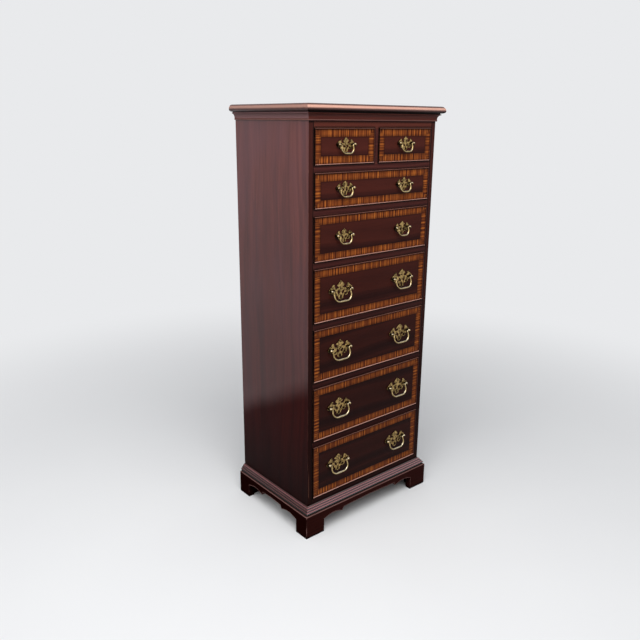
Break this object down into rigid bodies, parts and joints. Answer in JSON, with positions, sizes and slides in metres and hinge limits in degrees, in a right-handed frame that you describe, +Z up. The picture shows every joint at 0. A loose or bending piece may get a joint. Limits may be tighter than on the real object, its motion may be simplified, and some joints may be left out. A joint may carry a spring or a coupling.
{
  "type": "tall chest of drawers",
  "caption": "Tall narrow chest with short drawers over long graduated ones, crossbanded fronts, pierced bail pulls, coved cornice and scrolled bracket feet; drawers slide, bails swing.",
  "frame": {"origin": "on the floor, under the middle of the whole chest's box", "axes": "+Z up, the drawers face -Y and slide out along it, +X to the right of a viewer who faces them"},
  "size_m": [0.588, 0.402, 1.3955],
  "materials": {
    "mahogany_case": "straight-grained red-brown mahogany, semi-gloss lacquer",
    "mahogany_moulding": "moulded mahogany, semi-gloss lacquer",
    "mahogany_rail": "mahogany rails, semi-gloss lacquer",
    "drawer_veneer": "mahogany veneer with crossbanding in a lighter orange-brown wood, semi-gloss lacquer",
    "oak": "bare waxed oak",
    "pine": "bare softwood",
    "drawer_bottom": "bare plywood",
    "back_board": "stained plywood",
    "brass": "cast brass, darkened in the hollows",
    "brass_bail": "cast brass, rubbed bright by hands"
  },
  "bodies": {
    "case": {"left_side_panel": "mahogany_case", "right_side_panel": "mahogany_case", "top_board": "mahogany_case", "cornice_moulding": "mahogany_moulding", "back_panel": "back_board", "drawer_rails": "mahogany_rail", "top_drawer_divider": "mahogany_rail", "drawer_runners": "pine", "case_floor": "pine", "base_moulding": "mahogany_moulding", "front_bracket": "mahogany_case", "side_brackets": "mahogany_case", "rear_brackets": "oak", "base_blocks": "pine"},
    "top_left_drawer": {"top_left_drawer_front": "drawer_veneer", "top_left_drawer_box": "oak", "top_left_drawer_bottom": "drawer_bottom", "top_left_pull_plates": "brass"},
    "top_left_bail": {"top_left_bail": "brass_bail"},
    "top_right_drawer": {"top_right_drawer_front": "drawer_veneer", "top_right_drawer_box": "oak", "top_right_drawer_bottom": "drawer_bottom", "top_right_pull_plates": "brass"},
    "top_right_bail": {"top_right_bail": "brass_bail"},
    "second_drawer": {"second_drawer_front": "drawer_veneer", "second_drawer_box": "oak", "second_drawer_bottom": "drawer_bottom", "second_pull_plates": "brass"},
    "second_left_bail": {"second_left_bail": "brass_bail"},
    "second_right_bail": {"second_right_bail": "brass_bail"},
    "third_drawer": {"third_drawer_front": "drawer_veneer", "third_drawer_box": "oak", "third_drawer_bottom": "drawer_bottom", "third_pull_plates": "brass"},
    "third_left_bail": {"third_left_bail": "brass_bail"},
    "third_right_bail": {"third_right_bail": "brass_bail"},
    "fourth_drawer": {"fourth_drawer_front": "drawer_veneer", "fourth_drawer_box": "oak", "fourth_drawer_bottom": "drawer_bottom", "fourth_pull_plates": "brass"},
    "fourth_left_bail": {"fourth_left_bail": "brass_bail"},
    "fourth_right_bail": {"fourth_right_bail": "brass_bail"},
    "fifth_drawer": {"fifth_drawer_front": "drawer_veneer", "fifth_drawer_box": "oak", "fifth_drawer_bottom": "drawer_bottom", "fifth_pull_plates": "brass"},
    "fifth_left_bail": {"fifth_left_bail": "brass_bail"},
    "fifth_right_bail": {"fifth_right_bail": "brass_bail"},
    "sixth_drawer": {"sixth_drawer_front": "drawer_veneer", "sixth_drawer_box": "oak", "sixth_drawer_bottom": "drawer_bottom", "sixth_pull_plates": "brass"},
    "sixth_left_bail": {"sixth_left_bail": "brass_bail"},
    "sixth_right_bail": {"sixth_right_bail": "brass_bail"},
    "seventh_drawer": {"seventh_drawer_front": "drawer_veneer", "seventh_drawer_box": "oak", "seventh_drawer_bottom": "drawer_bottom", "seventh_pull_plates": "brass"},
    "seventh_left_bail": {"seventh_left_bail": "brass_bail"},
    "seventh_right_bail": {"seventh_right_bail": "brass_bail"}
  },
  "joints": [
    {"name": "top_left_drawer_slide", "type": "slide", "parent": "case", "child": "top_left_drawer", "axis": [0, -1, 0], "range_m": [0, 0.29]},
    {"name": "top_left_bail_swing", "type": "hinge", "parent": "top_left_drawer", "child": "top_left_bail", "pos_m": [-0.129, -0.186, 1.28], "axis": [-1, 0, 0], "range_deg": [-16.5, 178.5]},
    {"name": "top_right_drawer_slide", "type": "slide", "parent": "case", "child": "top_right_drawer", "axis": [0, -1, 0], "range_m": [0, 0.29]},
    {"name": "top_right_bail_swing", "type": "hinge", "parent": "top_right_drawer", "child": "top_right_bail", "pos_m": [0.129, -0.186, 1.28], "axis": [-1, 0, 0], "range_deg": [-16.5, 178.5]},
    {"name": "second_drawer_slide", "type": "slide", "parent": "case", "child": "second_drawer", "axis": [0, -1, 0], "range_m": [0, 0.29]},
    {"name": "second_left_bail_swing", "type": "hinge", "parent": "second_drawer", "child": "second_left_bail", "pos_m": [-0.129, -0.186, 1.153], "axis": [-1, 0, 0], "range_deg": [-16.5, 178.5]},
    {"name": "second_right_bail_swing", "type": "hinge", "parent": "second_drawer", "child": "second_right_bail", "pos_m": [0.129, -0.186, 1.153], "axis": [-1, 0, 0], "range_deg": [-16.5, 178.5]},
    {"name": "third_drawer_slide", "type": "slide", "parent": "case", "child": "third_drawer", "axis": [0, -1, 0], "range_m": [0, 0.29]},
    {"name": "third_left_bail_swing", "type": "hinge", "parent": "third_drawer", "child": "third_left_bail", "pos_m": [-0.129, -0.186, 1.00925], "axis": [-1, 0, 0], "range_deg": [-16.5, 178.5]},
    {"name": "third_right_bail_swing", "type": "hinge", "parent": "third_drawer", "child": "third_right_bail", "pos_m": [0.129, -0.186, 1.00925], "axis": [-1, 0, 0], "range_deg": [-16.5, 178.5]},
    {"name": "fourth_drawer_slide", "type": "slide", "parent": "case", "child": "fourth_drawer", "axis": [0, -1, 0], "range_m": [0, 0.29]},
    {"name": "fourth_left_bail_swing", "type": "hinge", "parent": "fourth_drawer", "child": "fourth_left_bail", "pos_m": [-0.139, -0.186, 0.836], "axis": [-1, 0, 0], "range_deg": [-19.5, 171.5]},
    {"name": "fourth_right_bail_swing", "type": "hinge", "parent": "fourth_drawer", "child": "fourth_right_bail", "pos_m": [0.139, -0.186, 0.836], "axis": [-1, 0, 0], "range_deg": [-19.5, 171.5]},
    {"name": "fifth_drawer_slide", "type": "slide", "parent": "case", "child": "fifth_drawer", "axis": [0, -1, 0], "range_m": [0, 0.29]},
    {"name": "fifth_left_bail_swing", "type": "hinge", "parent": "fifth_drawer", "child": "fifth_left_bail", "pos_m": [-0.139, -0.186, 0.641], "axis": [-1, 0, 0], "range_deg": [-19.5, 171.5]},
    {"name": "fifth_right_bail_swing", "type": "hinge", "parent": "fifth_drawer", "child": "fifth_right_bail", "pos_m": [0.139, -0.186, 0.641], "axis": [-1, 0, 0], "range_deg": [-19.5, 171.5]},
    {"name": "sixth_drawer_slide", "type": "slide", "parent": "case", "child": "sixth_drawer", "axis": [0, -1, 0], "range_m": [0, 0.29]},
    {"name": "sixth_left_bail_swing", "type": "hinge", "parent": "sixth_drawer", "child": "sixth_left_bail", "pos_m": [-0.139, -0.186, 0.439], "axis": [-1, 0, 0], "range_deg": [-19.5, 171.5]},
    {"name": "sixth_right_bail_swing", "type": "hinge", "parent": "sixth_drawer", "child": "sixth_right_bail", "pos_m": [0.139, -0.186, 0.439], "axis": [-1, 0, 0], "range_deg": [-19.5, 171.5]},
    {"name": "seventh_drawer_slide", "type": "slide", "parent": "case", "child": "seventh_drawer", "axis": [0, -1, 0], "range_m": [0, 0.29]},
    {"name": "seventh_left_bail_swing", "type": "hinge", "parent": "seventh_drawer", "child": "seventh_left_bail", "pos_m": [-0.139, -0.186, 0.2305], "axis": [-1, 0, 0], "range_deg": [-19.5, 171.5]},
    {"name": "seventh_right_bail_swing", "type": "hinge", "parent": "seventh_drawer", "child": "seventh_right_bail", "pos_m": [0.139, -0.186, 0.2305], "axis": [-1, 0, 0], "range_deg": [-19.5, 171.5]}
  ]
}
